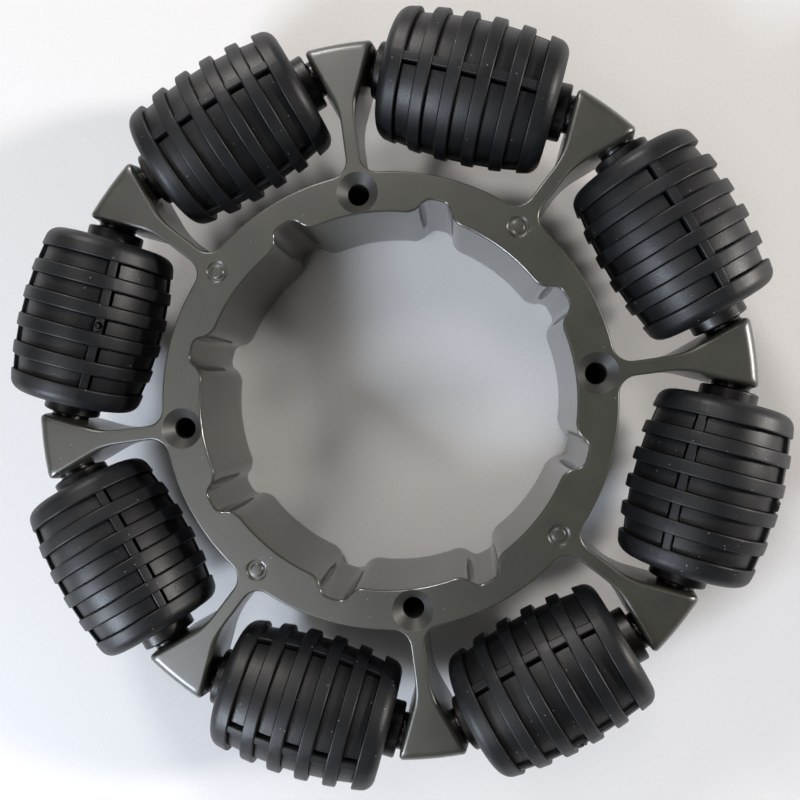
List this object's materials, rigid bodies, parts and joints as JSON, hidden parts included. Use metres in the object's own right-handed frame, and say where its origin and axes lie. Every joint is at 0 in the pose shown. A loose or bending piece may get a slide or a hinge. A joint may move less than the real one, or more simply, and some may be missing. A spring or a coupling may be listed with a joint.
{
  "type": "omni wheel",
  "caption": "Omni wheel row: a cast hub with a lobed bore and wedge-headed spokes carries ribbed barrel rollers that spin freely on tangential axles.",
  "frame": {"origin": "on the wheel axis at the hub's back face, which rests on the floor", "axes": "+Z along the wheel axis, from the back face to the front face with the countersinks; +X through a countersunk spoke; rollers stand at 22.5, 67.5 ... degrees from +X towards +Y"},
  "size_m": [0.199, 0.199, 0.0463],
  "materials": {
    "cast_metal": "die-cast, dark olive-grey anodised or sealed, satin with a fine sparkle",
    "tread_rubber": "moulded, matte charcoal black",
    "core_nylon": "injection-moulded glass-filled nylon, black, low sheen",
    "bush_acetal": "injection-moulded acetal, black, glossy",
    "axle_steel": "ground steel pin",
    "washer_steel": "stamped steel, plain"
  },
  "bodies": {
    "hub": {"hub_casting": "cast_metal", "axle_0": "axle_steel", "axle_1": "axle_steel", "axle_2": "axle_steel", "axle_3": "axle_steel", "axle_4": "axle_steel", "axle_5": "axle_steel", "axle_6": "axle_steel", "axle_7": "axle_steel", "washer_a_0": "washer_steel", "washer_a_1": "washer_steel", "washer_a_2": "washer_steel", "washer_a_3": "washer_steel", "washer_a_4": "washer_steel", "washer_a_5": "washer_steel", "washer_a_6": "washer_steel", "washer_a_7": "washer_steel", "washer_b_0": "washer_steel", "washer_b_1": "washer_steel", "washer_b_2": "washer_steel", "washer_b_3": "washer_steel", "washer_b_4": "washer_steel", "washer_b_5": "washer_steel", "washer_b_6": "washer_steel", "washer_b_7": "washer_steel"},
    "roller_0": {"tread_0": "tread_rubber", "core_0": "core_nylon", "bush_a_0": "bush_acetal", "bush_b_0": "bush_acetal"},
    "roller_1": {"tread_1": "tread_rubber", "core_1": "core_nylon", "bush_a_1": "bush_acetal", "bush_b_1": "bush_acetal"},
    "roller_2": {"tread_2": "tread_rubber", "core_2": "core_nylon", "bush_a_2": "bush_acetal", "bush_b_2": "bush_acetal"},
    "roller_3": {"tread_3": "tread_rubber", "core_3": "core_nylon", "bush_a_3": "bush_acetal", "bush_b_3": "bush_acetal"},
    "roller_4": {"tread_4": "tread_rubber", "core_4": "core_nylon", "bush_a_4": "bush_acetal", "bush_b_4": "bush_acetal"},
    "roller_5": {"tread_5": "tread_rubber", "core_5": "core_nylon", "bush_a_5": "bush_acetal", "bush_b_5": "bush_acetal"},
    "roller_6": {"tread_6": "tread_rubber", "core_6": "core_nylon", "bush_a_6": "bush_acetal", "bush_b_6": "bush_acetal"},
    "roller_7": {"tread_7": "tread_rubber", "core_7": "core_nylon", "bush_a_7": "bush_acetal", "bush_b_7": "bush_acetal"}
  },
  "joints": [
    {"name": "roller_0_spin", "type": "hinge", "parent": "hub", "child": "roller_0", "pos_m": [0.07687, 0.03184, 0.028], "axis": [-0.3827, 0.9239, 0], "continuous": true},
    {"name": "roller_1_spin", "type": "hinge", "parent": "hub", "child": "roller_1", "pos_m": [0.03184, 0.07687, 0.028], "axis": [-0.9239, 0.3827, 0], "continuous": true},
    {"name": "roller_2_spin", "type": "hinge", "parent": "hub", "child": "roller_2", "pos_m": [-0.03184, 0.07687, 0.028], "axis": [-0.9239, -0.3827, 0], "continuous": true},
    {"name": "roller_3_spin", "type": "hinge", "parent": "hub", "child": "roller_3", "pos_m": [-0.07687, 0.03184, 0.028], "axis": [-0.3827, -0.9239, 0], "continuous": true},
    {"name": "roller_4_spin", "type": "hinge", "parent": "hub", "child": "roller_4", "pos_m": [-0.07687, -0.03184, 0.028], "axis": [0.3827, -0.9239, 0], "continuous": true},
    {"name": "roller_5_spin", "type": "hinge", "parent": "hub", "child": "roller_5", "pos_m": [-0.03184, -0.07687, 0.028], "axis": [0.9239, -0.3827, 0], "continuous": true},
    {"name": "roller_6_spin", "type": "hinge", "parent": "hub", "child": "roller_6", "pos_m": [0.03184, -0.07687, 0.028], "axis": [0.9239, 0.3827, 0], "continuous": true},
    {"name": "roller_7_spin", "type": "hinge", "parent": "hub", "child": "roller_7", "pos_m": [0.07687, -0.03184, 0.028], "axis": [0.3827, 0.9239, 0], "continuous": true}
  ]
}
